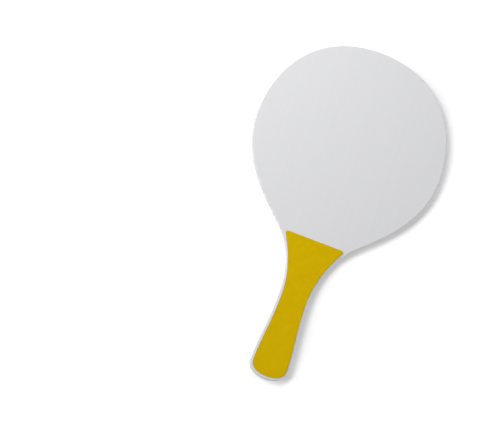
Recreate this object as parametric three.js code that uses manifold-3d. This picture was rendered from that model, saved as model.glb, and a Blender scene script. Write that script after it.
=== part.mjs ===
// Beach tennis racket: a plywood bat with white facing films, a painted edge and foam grip pads on both sides.
//
// The racket lies flat, front face up. +Y runs from the handle to the head, +X across it, +Z out of the front face.
// The origin is on the floor, under the middle of the racket's length. Lengths are in millimetres.

import * as THREE from 'three';
import { mergeVertices } from 'three/addons/utils/BufferGeometryUtils.js';
import Module from 'manifold-3d';

const wasm = await Module();
wasm.setup();

// Board outline, measured from the head's widest line
const headWidth = 185.4;
const crownHeight = 95.2;
const shoulderWidth = 111.6;
const shoulderReach = 74.7;
const shoulderAngle = 45.4;
const waistWidth = 28.8;
const waistReach = 154.6;
const knobWidth = 37.8;
const knobSetback = 13.2;
const handleReach = 234.8;

// Tangent lengths of the outline, as shares of the stretch that each one shapes
const crownShares = { start: 0.636, end: 0.562 };
const cheekShares = { start: 0.465, end: 0.279 };
const throatShares = { start: 0.324, end: 0.614 };
const handleShares = { start: 0.393, end: 0.282 };
const knobShares = { start: 0.615, end: 0.662 };

// Board layers
const plyThickness = 1.12;
const plyNames = [ 'back_ply', 'back_cross_ply', 'core_ply', 'front_cross_ply', 'front_ply' ];
const filmThickness = 0.2;
const edgeCoatThickness = 0.3;

// Grip pads
const padThickness = 0.8;
const padTapeThickness = 0.2;
const padMargin = 1.95;
const padTopReach = 95.4;
const padTopWidth = 61.4;
const padFlareAngle = 30.2;
const padFlareShares = { start: 0.377, end: 0.334 };
const padCornerLength = 3.6;
const padCornerShare = 0.44;
const padRoundWidth = 0.35;
const padRoundDepth = 0.4;
const padRoundSteps = 4;
const cutOverrun = 5;

// Steps along each stretch of an outline
const curveSteps = 20;

const boardThickness = plyNames.length * plyThickness + 2 * filmThickness;
const gripThickness = padTapeThickness + padThickness;

const whiteFilm = new THREE.MeshStandardMaterial( { color: 0xdededf, roughness: 0.45, metalness: 0 } );
const whitePaint = new THREE.MeshStandardMaterial( { color: 0xe2e2e3, roughness: 0.5, metalness: 0 } );
const faceVeneer = new THREE.MeshStandardMaterial( { color: 0xd9bf94, roughness: 0.75, metalness: 0 } );
const crossVeneer = new THREE.MeshStandardMaterial( { color: 0xc4a373, roughness: 0.8, metalness: 0 } );
const yellowFoam = new THREE.MeshStandardMaterial( { color: 0xc9a906, roughness: 0.9, metalness: 0 } );
const clearTape = new THREE.MeshStandardMaterial( { color: 0xe6e1d0, roughness: 0.35, metalness: 0 } );

function turned( direction, degrees ) {

	return direction.clone().rotateAround( new THREE.Vector2(), THREE.MathUtils.degToRad( degrees ) );

}

// A smooth stretch between two points, leaving and arriving along given directions. The tangents are shares of the
// distance along each direction that the stretch has to cover.
function addStretch( path, from, leave, to, arrive, shares ) {

	const span = to.clone().sub( from );
	const first = leave.clone().multiplyScalar( shares.start * Math.abs( span.dot( leave ) ) );
	const last = arrive.clone().multiplyScalar( shares.end * Math.abs( span.dot( arrive ) ) );
	path.bezierCurveTo( from.x + first.x, from.y + first.y, to.x - last.x, to.y - last.y, to.x, to.y );

}

// The right half of an outline, clockwise, closed by the mirror image of its points off the axis.
function mirroredLoop( path ) {

	const right = path.getPoints( curveSteps );
	const offAxis = right.filter( ( point ) => point.x > 0 );
	return [ ...right, ...offAxis.reverse().map( ( point ) => new THREE.Vector2( - point.x, point.y ) ) ];

}

// The handle from its waist to its end, the same on board and pads but for the margin all round.
function addHandle( path, margin ) {

	const down = new THREE.Vector2( 0, - 1 );
	const waist = new THREE.Vector2( waistWidth / 2 - margin, - waistReach );
	const knob = new THREE.Vector2( knobWidth / 2 - margin, knobSetback - handleReach );
	const end = new THREE.Vector2( 0, margin - handleReach );
	addStretch( path, waist, down, knob, down, handleShares );
	addStretch( path, knob, down, end, new THREE.Vector2( - 1, 0 ), knobShares );

}

function boardLoop() {

	const right = new THREE.Vector2( 1, 0 );
	const down = new THREE.Vector2( 0, - 1 );
	const flank = turned( new THREE.Vector2( - 1, 0 ), shoulderAngle );
	const crown = new THREE.Vector2( 0, crownHeight );
	const cheek = new THREE.Vector2( headWidth / 2, 0 );
	const shoulder = new THREE.Vector2( shoulderWidth / 2, - shoulderReach );
	const waist = new THREE.Vector2( waistWidth / 2, - waistReach );
	const path = new THREE.Path();
	path.moveTo( crown.x, crown.y );
	addStretch( path, crown, right, cheek, down, crownShares );
	addStretch( path, cheek, down, shoulder, flank, cheekShares );
	addStretch( path, shoulder, flank, waist, down, throatShares );
	addHandle( path, 0 );
	return mirroredLoop( path );

}

function padLoop() {

	const down = new THREE.Vector2( 0, - 1 );
	const flare = turned( down, - padFlareAngle );
	const corner = new THREE.Vector2( padTopWidth / 2, - padTopReach );
	const side = corner.clone().addScaledVector( flare, padCornerLength );
	const cornerPull = padCornerLength * ( 1 - padCornerShare );
	const beforeSide = corner.clone().addScaledVector( flare, cornerPull );
	const waist = new THREE.Vector2( waistWidth / 2 - padMargin, - waistReach );
	const path = new THREE.Path();
	path.moveTo( corner.x - padCornerLength, corner.y );
	path.bezierCurveTo( corner.x - cornerPull, corner.y, beforeSide.x, beforeSide.y, side.x, side.y );
	addStretch( path, side, flare, waist, down, padFlareShares );
	addHandle( path, padMargin );
	return mirroredLoop( path );

}

// A clockwise loop moved inwards by a distance, corner by corner.
function insetLoop( loop, distance ) {

	return loop.map( ( point, index ) => {

		const before = point.clone().sub( loop.at( index - 1 ) ).normalize();
		const after = loop[ ( index + 1 ) % loop.length ].clone().sub( point ).normalize();
		const inward = new THREE.Vector2( before.y + after.y, - before.x - after.x ).normalize();
		const reach = distance / inward.dot( new THREE.Vector2( after.y, - after.x ) );
		return point.clone().addScaledVector( inward, reach );

	} );

}

function slab( shape, thickness ) {

	return new THREE.ExtrudeGeometry( shape, { depth: thickness, bevelEnabled: false } );

}

function toSolid( geometry ) {

	geometry.deleteAttribute( 'normal' );
	geometry.deleteAttribute( 'uv' );
	const merged = mergeVertices( geometry );
	const vertProperties = merged.attributes.position.array;
	const triVerts = new Uint32Array( merged.index.array );
	return new wasm.Manifold( new wasm.Mesh( { numProp: 3, vertProperties, triVerts } ) );

}

function toGeometry( solid ) {

	const mesh = solid.getMesh();
	const geometry = new THREE.BufferGeometry();
	geometry.setAttribute( 'position', new THREE.BufferAttribute( mesh.vertProperties, 3 ) );
	geometry.setIndex( new THREE.BufferAttribute( mesh.triVerts, 1 ) );
	return geometry;

}

// A foam pad standing on its flat glued face, its outer edge softly rounded. The extrusion is rounded on both of its
// faces, and the rounding below the glued face is cut off.
function padGeometry( loop ) {

	const rounded = new THREE.ExtrudeGeometry( new THREE.Shape( loop ), {
		depth: padThickness - padRoundDepth,
		bevelThickness: padRoundDepth,
		bevelSize: padRoundWidth,
		bevelOffset: - padRoundWidth,
		bevelSegments: padRoundSteps,
	} );
	const cutDepth = padRoundDepth + cutOverrun;
	const cutWidth = padTopWidth + knobWidth + 2 * cutOverrun;
	const cutLength = 2 * ( handleReach + cutOverrun );
	const cutter = new THREE.BoxGeometry( cutWidth, cutLength, cutDepth ).translate( 0, 0, - cutDepth / 2 );
	return toGeometry( toSolid( rounded ).subtract( toSolid( cutter ) ) );

}

function addMesh( parent, name, geometry, material, height ) {

	const mesh = new THREE.Mesh( geometry, material );
	mesh.name = name;
	mesh.position.z = height;
	parent.add( mesh );

}

// The board: plies glued with their grain crossed, a film on each face, and paint that seals the whole edge.
function makeBoard() {

	const board = new THREE.Group();
	const outer = boardLoop();
	const inner = insetLoop( outer, edgeCoatThickness );
	const layer = new THREE.Shape( inner );
	addMesh( board, 'back_film', slab( layer, filmThickness ), whiteFilm, 0 );
	plyNames.forEach( ( name, index ) => {

		const veneer = index % 2 === 0 ? faceVeneer : crossVeneer;
		addMesh( board, name, slab( layer, plyThickness ), veneer, filmThickness + index * plyThickness );

	} );
	addMesh( board, 'front_film', slab( layer, filmThickness ), whiteFilm, boardThickness - filmThickness );

	const rim = new THREE.Shape( outer );
	rim.holes.push( new THREE.Path( inner.toReversed() ) );
	addMesh( board, 'edge_paint', slab( rim, boardThickness ), whitePaint, 0 );
	return board;

}

// A grip: the foam pad with the tape that sticks it to the board, built upwards from the board's face.
function makeGrip( side ) {

	const grip = new THREE.Group();
	const loop = padLoop();
	addMesh( grip, side + '_pad_tape', slab( new THREE.Shape( loop ), padTapeThickness ), clearTape, 0 );
	addMesh( grip, side + '_grip_pad', padGeometry( loop ), yellowFoam, padTapeThickness );
	return grip;

}

const racket = new THREE.Group();
racket.position.y = ( handleReach - crownHeight ) / 2;

const board = makeBoard();
board.position.z = gripThickness;
racket.add( board );

const frontGrip = makeGrip( 'front' );
frontGrip.position.z = gripThickness + boardThickness;
racket.add( frontGrip );

const backGrip = makeGrip( 'back' );
backGrip.rotation.y = Math.PI;
backGrip.position.z = gripThickness;
racket.add( backGrip );

export default racket;
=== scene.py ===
# Beach tennis racket: a plywood bat with a white film on both faces, a painted edge and foam grip pads.
# It lies on its back pad on a white floor, in metres, with +Y from the handle to the head and +Z out of
# its front face.

import math

import bpy
from mathutils import Matrix, Vector


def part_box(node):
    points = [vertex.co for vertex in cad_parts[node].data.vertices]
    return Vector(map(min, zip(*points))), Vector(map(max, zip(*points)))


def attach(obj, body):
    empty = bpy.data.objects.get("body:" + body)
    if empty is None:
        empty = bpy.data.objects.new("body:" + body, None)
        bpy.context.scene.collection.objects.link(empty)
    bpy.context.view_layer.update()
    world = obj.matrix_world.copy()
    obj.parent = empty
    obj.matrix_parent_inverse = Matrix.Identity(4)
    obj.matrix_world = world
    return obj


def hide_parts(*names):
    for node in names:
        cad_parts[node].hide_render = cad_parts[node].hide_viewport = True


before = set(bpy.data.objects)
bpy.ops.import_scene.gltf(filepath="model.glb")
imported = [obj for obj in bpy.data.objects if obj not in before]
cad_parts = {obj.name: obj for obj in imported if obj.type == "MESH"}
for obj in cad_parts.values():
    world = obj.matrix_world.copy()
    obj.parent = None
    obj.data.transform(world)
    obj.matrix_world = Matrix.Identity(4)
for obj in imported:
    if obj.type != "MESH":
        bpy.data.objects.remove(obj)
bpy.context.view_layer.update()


# Veneers of the board
# Five rotary-cut sheets, glued with their grain crossed and sawn to the racket's outline. They lie
# inside the films and the edge paint, so only their finish is made here: pale long grain, and darker
# grain across the racket.

long_early, long_late = (0.74, 0.58, 0.36), (0.58, 0.41, 0.22)
cross_early, cross_late = (0.6, 0.42, 0.21), (0.44, 0.28, 0.12)
cross_turn = math.radians(90)


def new_finish(name):
    finish = bpy.data.materials.new(name)
    finish.use_nodes = True
    nodes = finish.node_tree.nodes
    nodes.clear()
    output = nodes.new("ShaderNodeOutputMaterial")
    shader = nodes.new("ShaderNodeBsdfPrincipled")
    finish.node_tree.links.new(shader.outputs["BSDF"], output.inputs["Surface"])
    return finish, shader


def add_node(finish, kind, **settings):
    node = finish.node_tree.nodes.new("ShaderNode" + kind)
    for setting, value in settings.items():
        setattr(node, setting, value)
    return node


def join(finish, source, target):
    finish.node_tree.links.new(source, target)


def place_pattern(finish, stretch=(1, 1, 1), turn=0, shift=(0, 0, 0)):
    place = add_node(finish, "TexCoord")
    mapping = add_node(finish, "Mapping")
    mapping.inputs["Scale"].default_value = stretch
    mapping.inputs["Rotation"].default_value = (0, 0, turn)
    mapping.inputs["Location"].default_value = shift
    join(finish, place.outputs["Object"], mapping.inputs["Vector"])
    return mapping.outputs["Vector"]


def add_noise(finish, where, scale, detail, roughness=0.5):
    noise = add_node(finish, "TexNoise")
    noise.inputs["Scale"].default_value = scale
    noise.inputs["Detail"].default_value = detail
    noise.inputs["Roughness"].default_value = roughness
    join(finish, where, noise.inputs["Vector"])
    return noise.outputs["Fac"]


def add_ramp(finish, amount, stops):
    ramp = add_node(finish, "ValToRGB")
    marks = ramp.color_ramp.elements
    for mark, (position, colour) in zip(marks, stops):
        mark.position = position
        mark.color = (*colour, 1)
    join(finish, amount, ramp.inputs["Fac"])
    return ramp.outputs["Color"]


def add_levels(finish, amount, low, high, start=0, end=1):
    levels = add_node(finish, "MapRange")
    for name, value in (("From Min", start), ("From Max", end), ("To Min", low), ("To Max", high)):
        levels.inputs[name].default_value = value
    join(finish, amount, levels.inputs["Value"])
    return levels.outputs["Result"]


def add_bump(finish, height, depth, strength=1, under=None):
    bump = add_node(finish, "Bump")
    bump.inputs["Strength"].default_value = strength
    bump.inputs["Distance"].default_value = depth
    join(finish, height, bump.inputs["Height"])
    if under is not None:
        join(finish, under, bump.inputs["Normal"])
    return bump.outputs["Normal"]


def make_veneer(name, turn, early, late):
    finish, shader = new_finish(name)
    along = place_pattern(finish, stretch=(260, 9, 40), turn=turn)
    figure = add_noise(finish, along, scale=1, detail=6, roughness=0.6)
    fine_along = place_pattern(finish, stretch=(2400, 90, 400), turn=turn)
    pores = add_noise(finish, fine_along, scale=1, detail=2, roughness=0.7)
    join(finish, add_ramp(finish, figure, [(0.32, late), (0.66, early)]), shader.inputs["Base Color"])
    join(finish, add_levels(finish, pores, low=0.62, high=0.85), shader.inputs["Roughness"])
    join(finish, add_bump(finish, pores, depth=0.00006), shader.inputs["Normal"])
    return finish


def dress(node, finish):
    for material_slot in node.material_slots:
        material_slot.material = finish


long_veneer = make_veneer("long_grain_veneer", 0, long_early, long_late)
cross_veneer = make_veneer("cross_grain_veneer", cross_turn, cross_early, cross_late)
for ply in ("back_ply", "core_ply", "front_ply"):
    dress(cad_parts[ply], long_veneer)
for ply in ("back_cross_ply", "front_cross_ply"):
    dress(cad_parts[ply], cross_veneer)


# Edge paint
# A coat of white paint that seals the sawn edge all round. It is brushed on and rubbed down, so the
# corners are slightly eased, and the glue lines between the plies show through it as faint ridges.

head_width = 0.1854
crown_height = 0.0952
shoulder_width = 0.1116
shoulder_reach = 0.0747
shoulder_angle = math.radians(45.4)
waist_width = 0.0288
waist_reach = 0.1546
knob_width = 0.0378
knob_setback = 0.0132
handle_reach = 0.2348
head_middle = Vector((0, (handle_reach - crown_height) / 2))

# Lengths of the curve handles at each stretch's start and end, as shares of how far it goes their way
crown_shares = (0.636, 0.562)
cheek_shares = (0.465, 0.279)
throat_shares = (0.324, 0.614)
handle_shares = (0.393, 0.282)
knob_shares = (0.615, 0.662)

outline_steps = 24
merge_distance = 0.000002
smooth_angle = math.radians(40)
level_normal = 0.9
strip_corners = 8

coat_width = 0.0003
coat_easing = 0.00024
easing_steps = 3
film_thickness = 0.0002
ply_thickness = 0.00112
glue_ridge_reach = 0.00013
paint_white, paint_over_glue = (0.7, 0.7, 0.712), (0.667, 0.664, 0.668)

right = Vector((1, 0))
down = Vector((0, -1))
flank = Vector((-math.cos(shoulder_angle), -math.sin(shoulder_angle)))


# Half an outline is a list of bends. Each has its place and its arriving and leaving curve handles.
def start_half(place):
    return [[Vector(place), None, None]]


def add_bend(half, place, leave, arrive, shares):
    place = Vector(place)
    start, end = shares
    previous = half[-1]
    span = place - previous[0]
    previous[2] = previous[0] + leave * start * abs(span.dot(leave))
    half.append([place, place - arrive * end * abs(span.dot(arrive)), None])


def mirror_point(point):
    return Vector((-point.x, point.y))


# Mirrors a half outline across the handle's middle line, and fills it as one flat face at a height.
def draw_outline(name, half, straight_top, height):
    first, last = half[0], half[-1]
    first[1] = mirror_point(first[2])
    if straight_top:
        first[1] = first[0] + (mirror_point(first[0]) - first[0]) / 3
    last[2] = mirror_point(last[1])
    whole = list(half)
    for place, arriving, leaving in reversed(half[0 if straight_top else 1:-1]):
        whole.append([mirror_point(place), mirror_point(leaving), mirror_point(arriving)])
    bpy.ops.object.select_all(action="DESELECT")
    bpy.ops.curve.primitive_bezier_circle_add(radius=head_width / 2)
    outline = bpy.context.object
    outline.name = name
    outline.data.dimensions = "2D"
    outline.data.fill_mode = "NONE"
    outline.data.resolution_u = outline_steps
    spline = outline.data.splines[0]
    spline.bezier_points.add(len(whole) - len(spline.bezier_points))
    for bend, (place, arriving, leaving) in zip(spline.bezier_points, whole):
        bend.handle_left_type = bend.handle_right_type = "FREE"
        bend.co = (*(place + head_middle), 0)
        bend.handle_left = (*(arriving + head_middle), 0)
        bend.handle_right = (*(leaving + head_middle), 0)
    bpy.ops.object.convert(target="MESH")
    blank = bpy.context.object
    bpy.ops.object.mode_set(mode="EDIT")
    bpy.ops.mesh.select_all(action="SELECT")
    bpy.ops.mesh.remove_doubles(threshold=merge_distance)
    bpy.ops.mesh.edge_face_add()
    bpy.ops.transform.translate(value=(0, 0, height))
    bpy.ops.object.mode_set(mode="OBJECT")
    return blank


def add_handle(half, margin):
    knob = (knob_width / 2 - margin, knob_setback - handle_reach)
    add_bend(half, knob, down, down, handle_shares)
    add_bend(half, (0, margin - handle_reach), down, -right, knob_shares)


def draw_board_outline(name, height):
    half = start_half((0, crown_height))
    add_bend(half, (head_width / 2, 0), right, down, crown_shares)
    add_bend(half, (shoulder_width / 2, -shoulder_reach), down, flank, cheek_shares)
    add_bend(half, (waist_width / 2, -waist_reach), flank, down, throat_shares)
    add_handle(half, 0)
    return draw_outline(name, half, False, height)


def pick_all_faces():
    bpy.ops.object.mode_set(mode="EDIT")
    bpy.ops.mesh.select_mode(type="FACE")
    bpy.ops.mesh.select_all(action="SELECT")


def pick_faces(piece, wanted):
    bpy.ops.object.mode_set(mode="OBJECT")
    for part in (piece.data.vertices, piece.data.edges):
        part.foreach_set("select", [False] * len(part))
    for face in piece.data.polygons:
        face.select = wanted(face)
    bpy.ops.object.mode_set(mode="EDIT")
    bpy.ops.mesh.select_mode(type="FACE")


def is_level(face):
    return abs(face.normal.z) > level_normal


def extrude_up(height):
    bpy.ops.mesh.extrude_region_move(TRANSFORM_OT_translate={"value": (0, 0, height)})


def finish_mesh(piece):
    bpy.ops.mesh.select_all(action="SELECT")
    bpy.ops.mesh.remove_doubles(threshold=merge_distance)
    bpy.ops.mesh.normals_make_consistent(inside=False)
    bpy.ops.object.mode_set(mode="OBJECT")
    bpy.ops.object.shade_smooth_by_angle(angle=smooth_angle)


def hand_over(piece, finish, slot, *nodes):
    piece.data.materials.clear()
    piece.data.materials.append(finish)
    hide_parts(*nodes)
    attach(piece, "root")


edge_low, edge_high = (corner.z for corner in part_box("edge_paint"))
painted_edge = draw_board_outline("painted_edge", edge_low)
pick_all_faces()
extrude_up(edge_high - edge_low)
pick_faces(painted_edge, is_level)
bpy.ops.mesh.region_to_loop()
bpy.ops.mesh.bevel(offset=coat_easing, segments=easing_steps, affect="EDGES")
# The two whole faces, not the bevel's strips, are set in to the coat's width and opened. The coat's
# inner wall then joins the two openings.
pick_faces(painted_edge, lambda face: is_level(face) and len(face.vertices) > strip_corners)
bpy.ops.mesh.inset(thickness=coat_width - coat_easing)
bpy.ops.mesh.delete(type="ONLY_FACE")
bpy.ops.mesh.select_all(action="DESELECT")
bpy.ops.mesh.select_mode(type="EDGE")
bpy.ops.mesh.select_non_manifold()
bpy.ops.mesh.bridge_edge_loops()
finish_mesh(painted_edge)

edge_finish, shader = new_finish("brushed_edge_paint")
brushed = place_pattern(edge_finish, stretch=(300, 300, 2200))
drag = add_noise(edge_finish, brushed, scale=1, detail=3)
grain = add_noise(edge_finish, place_pattern(edge_finish), scale=2600, detail=3)
height = add_node(edge_finish, "SeparateXYZ")
join(edge_finish, place_pattern(edge_finish), height.inputs["Vector"])
plies = add_node(edge_finish, "Math", operation="PINGPONG")
plies.inputs[1].default_value = ply_thickness / 2
from_film = add_node(edge_finish, "Math", operation="SUBTRACT")
from_film.inputs[1].default_value = edge_low + film_thickness
join(edge_finish, height.outputs["Z"], from_film.inputs[0])
join(edge_finish, from_film.outputs[0], plies.inputs[0])
ridges = add_levels(edge_finish, plies.outputs[0], low=1, high=0, end=glue_ridge_reach)
tone = add_ramp(edge_finish, ridges, [(0, paint_white), (1, paint_over_glue)])
join(edge_finish, tone, shader.inputs["Base Color"])
join(edge_finish, add_levels(edge_finish, grain, low=0.44, high=0.6), shader.inputs["Roughness"])
ply_bump = add_bump(edge_finish, ridges, depth=0.00003)
drag_bump = add_bump(edge_finish, drag, depth=0.00003, under=ply_bump)
join(edge_finish, add_bump(edge_finish, grain, depth=0.00001, under=drag_bump), shader.inputs["Normal"])
hand_over(painted_edge, edge_finish, "white_paint", "edge_paint")


# Facing films
# A thin satin white film pressed on each face of the board and trimmed flush with the paint of the
# edge. It is smooth, with the soft unevenness of the press and a breath of the long grain under it.

film_shade, film_white = (0.671, 0.672, 0.684), (0.683, 0.684, 0.696)
film_gloss = 0.3

film_finish, shader = new_finish("pressed_white_film")
press = add_noise(film_finish, place_pattern(film_finish), scale=55, detail=3)
long_stretch = place_pattern(film_finish, stretch=(420, 14, 60))
under_grain = add_noise(film_finish, long_stretch, scale=1, detail=4, roughness=0.6)
skin = add_noise(film_finish, place_pattern(film_finish), scale=1900, detail=2)
tone = add_ramp(film_finish, under_grain, [(0.3, film_shade), (0.7, film_white)])
join(film_finish, tone, shader.inputs["Base Color"])
satin = add_levels(film_finish, press, low=0.5, high=0.6, start=0.3, end=0.7)
join(film_finish, satin, shader.inputs["Roughness"])
shader.inputs["Specular IOR Level"].default_value = film_gloss
press_bump = add_bump(film_finish, press, depth=0.00004)
grain_bump = add_bump(film_finish, under_grain, depth=0.000008, under=press_bump)
join(film_finish, add_bump(film_finish, skin, depth=0.000006, under=grain_bump), shader.inputs["Normal"])

for side in ("front", "back"):
    low, high = (corner.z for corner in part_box(side + "_film"))
    film = draw_board_outline(side + "_facing", low)
    pick_all_faces()
    # The strip along the edge, as wide as the paint, is cut off
    bpy.ops.mesh.inset(thickness=coat_width)
    bpy.ops.mesh.select_all(action="INVERT")
    bpy.ops.mesh.delete(type="FACE")
    bpy.ops.mesh.select_all(action="SELECT")
    extrude_up(high - low)
    finish_mesh(film)
    hand_over(film, film_finish, "white_film", side + "_film")


# Pad tapes
# Double-sided tape that sticks each pad to its film, die-cut with the foam. Only its cut edge shows,
# a cream line a fifth of a millimetre high under the foam.

liner_shade, liner_cream = (0.76, 0.71, 0.56), (0.82, 0.78, 0.66)

tape_finish, shader = new_finish("pad_tape")
liner = add_noise(tape_finish, place_pattern(tape_finish), scale=900, detail=3)
tone = add_ramp(tape_finish, liner, [(0.3, liner_shade), (0.7, liner_cream)])
join(tape_finish, tone, shader.inputs["Base Color"])
join(tape_finish, add_levels(tape_finish, liner, low=0.3, high=0.45), shader.inputs["Roughness"])
join(tape_finish, add_bump(tape_finish, liner, depth=0.00001), shader.inputs["Normal"])
for side in ("front", "back"):
    dress(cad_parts[side + "_pad_tape"], tape_finish)


# Foam grip pads
# Die-cut pads of closed-cell foam, mustard yellow all through, one glued on each side of the handle.
# The blade squeezes the outer edge, so it is softly rounded, and the face has fine cells and a slight
# unevenness.

pad_margin = 0.00195
pad_top_reach = 0.0954
pad_top_width = 0.0614
pad_flare_angle = math.radians(30.2)
pad_flare_shares = (0.377, 0.334)
pad_corner_length = 0.0036
pad_corner_share = 0.44

foam_grid = 0.00032
outer_share = 0.7
smoothing = 0.5
cut_smoothings = 6
edge_smoothings = 3
unevenness_width = 0.014
unevenness_depth = 0.00012
foam_deep, foam_bright = (0.625, 0.412, 0.0009), (0.663, 0.449, 0.0013)
speckle_dark, speckle_clear = (0.9, 0.9, 0.9), (1, 1, 1)
foam_gloss = 0.02

flare = Vector((-math.sin(pad_flare_angle), -math.cos(pad_flare_angle)))


def draw_pad_outline(name, height):
    corner = Vector((pad_top_width / 2, -pad_top_reach))
    pull = pad_corner_length * (1 - pad_corner_share)
    half = start_half((corner.x - pad_corner_length, corner.y))
    half[0][2] = Vector((corner.x - pull, corner.y))
    half.append([corner + flare * pad_corner_length, corner + flare * pull, None])
    add_bend(half, (waist_width / 2 - pad_margin, -waist_reach), flare, down, pad_flare_shares)
    add_handle(half, pad_margin)
    return draw_outline(name, half, True, height)


foam_finish, shader = new_finish("closed_cell_foam")
cells = add_node(foam_finish, "TexVoronoi", feature="F1")
cells.inputs["Scale"].default_value = 2600
join(foam_finish, place_pattern(foam_finish), cells.inputs["Vector"])
cloud = add_noise(foam_finish, place_pattern(foam_finish), scale=140, detail=4, roughness=0.6)
speckle = add_noise(foam_finish, place_pattern(foam_finish), scale=1500, detail=3, roughness=0.6)
base = add_ramp(foam_finish, cloud, [(0.3, foam_deep), (0.7, foam_bright)])
shade = add_ramp(foam_finish, speckle, [(0.25, speckle_dark), (0.6, speckle_clear)])
mix = add_node(foam_finish, "Mix", data_type="RGBA", blend_type="MULTIPLY")
mix.inputs["Factor"].default_value = 1
join(foam_finish, base, mix.inputs["A"])
join(foam_finish, shade, mix.inputs["B"])
join(foam_finish, mix.outputs["Result"], shader.inputs["Base Color"])
join(foam_finish, add_levels(foam_finish, speckle, low=0.8, high=0.95), shader.inputs["Roughness"])
shader.inputs["Specular IOR Level"].default_value = foam_gloss
cell_bump = add_bump(foam_finish, cells.outputs["Distance"], depth=0.00006, strength=0.6)
foam_bump = add_bump(foam_finish, speckle, depth=0.00004, strength=0.7, under=cell_bump)
join(foam_finish, foam_bump, shader.inputs["Normal"])

swell = bpy.data.textures.new("foam_unevenness", "CLOUDS")
swell.noise_scale = unevenness_width
for side in ("front", "back"):
    low, high = (corner.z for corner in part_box(side + "_grip_pad"))
    outer = high if side == "front" else low
    pad = draw_pad_outline(side + "_foam_pad", low)
    pick_all_faces()
    extrude_up(high - low)
    finish_mesh(pad)
    pad.data.remesh_voxel_size = foam_grid
    bpy.ops.object.voxel_remesh()
    soft_reach = outer_share * (high - low)
    squeezed = [point.index for point in pad.data.vertices if abs(point.co.z - outer) < soft_reach]
    soft = pad.vertex_groups.new(name="outer_part")
    soft.add(squeezed, 1, "REPLACE")
    cut = pad.modifiers.new("even_cut", "SMOOTH")
    cut.factor = smoothing
    cut.iterations = cut_smoothings
    cut.use_z = False
    bpy.ops.object.modifier_apply(modifier=cut.name)
    rounding = pad.modifiers.new("squeezed_edge", "SMOOTH")
    rounding.factor = smoothing
    rounding.iterations = edge_smoothings
    rounding.vertex_group = "outer_part"
    bpy.ops.object.modifier_apply(modifier=rounding.name)
    uneven = pad.modifiers.new("unevenness", "DISPLACE")
    uneven.texture = swell
    uneven.direction = "NORMAL"
    uneven.strength = unevenness_depth
    uneven.mid_level = 1
    uneven.vertex_group = "outer_part"
    bpy.ops.object.modifier_apply(modifier=uneven.name)
    pad.vertex_groups.clear()
    bpy.ops.object.shade_smooth()
    hand_over(pad, foam_finish, "yellow_foam", side + "_grip_pad")


# Floor
# The white table that the racket lies on, which takes its soft shadow. Its open part shows as plain
# white: what the camera sees of it glows a little, and more the further it lies from the racket and so
# from the lamps.

floor_size = 8
floor_paleness = 0.85
plain_white = (1, 1, 1, 1)
glow_near = 0.235
glow_start = 0.185
glow_full = 0.7
glow_squeeze = 2.2
glow_middle = 0.055


def add_sight(finish):
    path = add_node(finish, "LightPath")
    seen = path.outputs["Is Camera Ray"]
    for ray in ("Is Glossy Ray", "Is Transmission Ray"):
        either = add_node(finish, "Math", operation="MAXIMUM")
        join(finish, seen, either.inputs[0])
        join(finish, path.outputs[ray], either.inputs[1])
        seen = either.outputs[0]
    return seen


bpy.ops.object.select_all(action="DESELECT")
bpy.ops.mesh.primitive_plane_add(size=floor_size)
floor = bpy.context.object
floor.name = "white_floor"
floor_finish, shader = new_finish("white_floor")
shader.inputs["Base Color"].default_value = (floor_paleness, floor_paleness, floor_paleness, 1)
shader.inputs["Roughness"].default_value = 1
shader.inputs["Specular IOR Level"].default_value = 0
shader.inputs["Emission Color"].default_value = plain_white
reach = add_node(floor_finish, "VectorMath", operation="LENGTH")
round_racket = place_pattern(floor_finish, stretch=(glow_squeeze, 1, 1), shift=(0, -glow_middle, 0))
join(floor_finish, round_racket, reach.inputs[0])
distance = reach.outputs["Value"]
glow = add_levels(floor_finish, distance, low=glow_near, high=1, start=glow_start, end=glow_full)
shown = add_node(floor_finish, "Math", operation="MULTIPLY")
join(floor_finish, glow, shown.inputs[0])
join(floor_finish, add_sight(floor_finish), shown.inputs[1])
join(floor_finish, shown.outputs[0], shader.inputs["Emission Strength"])
floor.data.materials.append(floor_finish)


# Camera
# High over the racket with a long lens, leaning a little to the picture's left and bottom. The racket
# stands tilted in the picture of 500 by 426 pixels, and the middle of its head shows at head_pixel.
# One pixel covers pixel_size metres of the racket.

picture_width, picture_height = 500, 426
pixel_size = 0.00094865
head_pixel = (348.6, 146.85)
racket_tilt = math.radians(20.404)
lean_right, lean_up = math.radians(-8.856), math.radians(-5.052)
camera_distance = 10
sensor_width = 36

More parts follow.
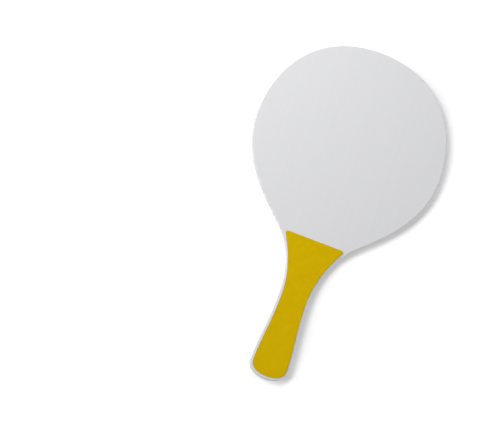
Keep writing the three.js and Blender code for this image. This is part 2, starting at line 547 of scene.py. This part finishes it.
upright = Matrix.Rotation(racket_tilt, 3, "Z")
lean = math.hypot(lean_right, lean_up)
side_on = upright @ Vector((lean_right, lean_up, 0)).normalized()
away = Vector((side_on.x * math.sin(lean), side_on.y * math.sin(lean), math.cos(lean)))
leaning = Matrix.Rotation(lean, 3, Vector((0, 0, 1)).cross(away).normalized()) @ upright
view = bpy.data.cameras.new("camera")
camera = bpy.data.objects.new("camera", view)
bpy.context.scene.collection.objects.link(camera)
across, upward = leaning.col[0], leaning.col[1]
head_spot = Vector((0, head_middle.y, edge_high))
aim = head_spot - across * (head_pixel[0] - picture_width / 2) * pixel_size
aim += upward * (head_pixel[1] - picture_height / 2) * pixel_size
camera.location = aim + away * camera_distance
camera.rotation_euler = leaning.to_euler()
view.sensor_width = sensor_width
view.lens = sensor_width * camera_distance / (picture_width * pixel_size)
view.clip_end = 2 * camera_distance
bpy.context.scene.camera = camera
bpy.context.scene.view_settings.view_transform = "Standard"


# Light
# Two broad soft lamps to the picture's left make the shadow, a nearer one above the head makes the
# face fade towards the handle, a small one fills from the right, and a white surround does the rest.

racket_spot = Vector((0, 0.02, 0.008))
surround_level = 0.104


# A lamp's bearing is its counter-clockwise turn from the picture's right, and its level is the light
# that it gives on a level face, where 1 shows white as white.
def hang_lamp(name, bearing, off_vertical, distance, size, level):
    turn = math.radians(bearing) + racket_tilt
    tip = math.radians(off_vertical)
    toward = Vector((math.cos(turn) * math.sin(tip), math.sin(turn) * math.sin(tip), math.cos(tip)))
    light = bpy.data.lights.new(name, "AREA")
    light.shape = "DISK"
    light.size = size
    light.energy = level * math.pi ** 2 * distance ** 2 / math.cos(tip)
    lamp = bpy.data.objects.new(name, light)
    bpy.context.scene.collection.objects.link(lamp)
    lamp.location = racket_spot + toward * distance
    lamp.rotation_euler = toward.to_track_quat("Z", "Y").to_euler()


hang_lamp("side_lamp", bearing=183, off_vertical=58, distance=1.7, size=0.78, level=0.215)
hang_lamp("broad_lamp", bearing=147, off_vertical=44.5, distance=1.7, size=0.78, level=0.39)
hang_lamp("head_lamp", bearing=100, off_vertical=40, distance=0.5, size=0.23, level=0.165)
hang_lamp("fill_lamp", bearing=-5, off_vertical=35, distance=1.5, size=0.48, level=0.158)

world = bpy.context.scene.world or bpy.data.worlds.new("surround")
bpy.context.scene.world = world
world.use_nodes = True
world.node_tree.nodes.clear()
surround = add_node(world, "Background")
surround.inputs["Color"].default_value = plain_white
sky_output = add_node(world, "OutputWorld")
surround_strength = add_levels(world, add_sight(world), low=surround_level, high=1)
join(world, surround_strength, surround.inputs["Strength"])
join(world, surround.outputs["Background"], sky_output.inputs["Surface"])
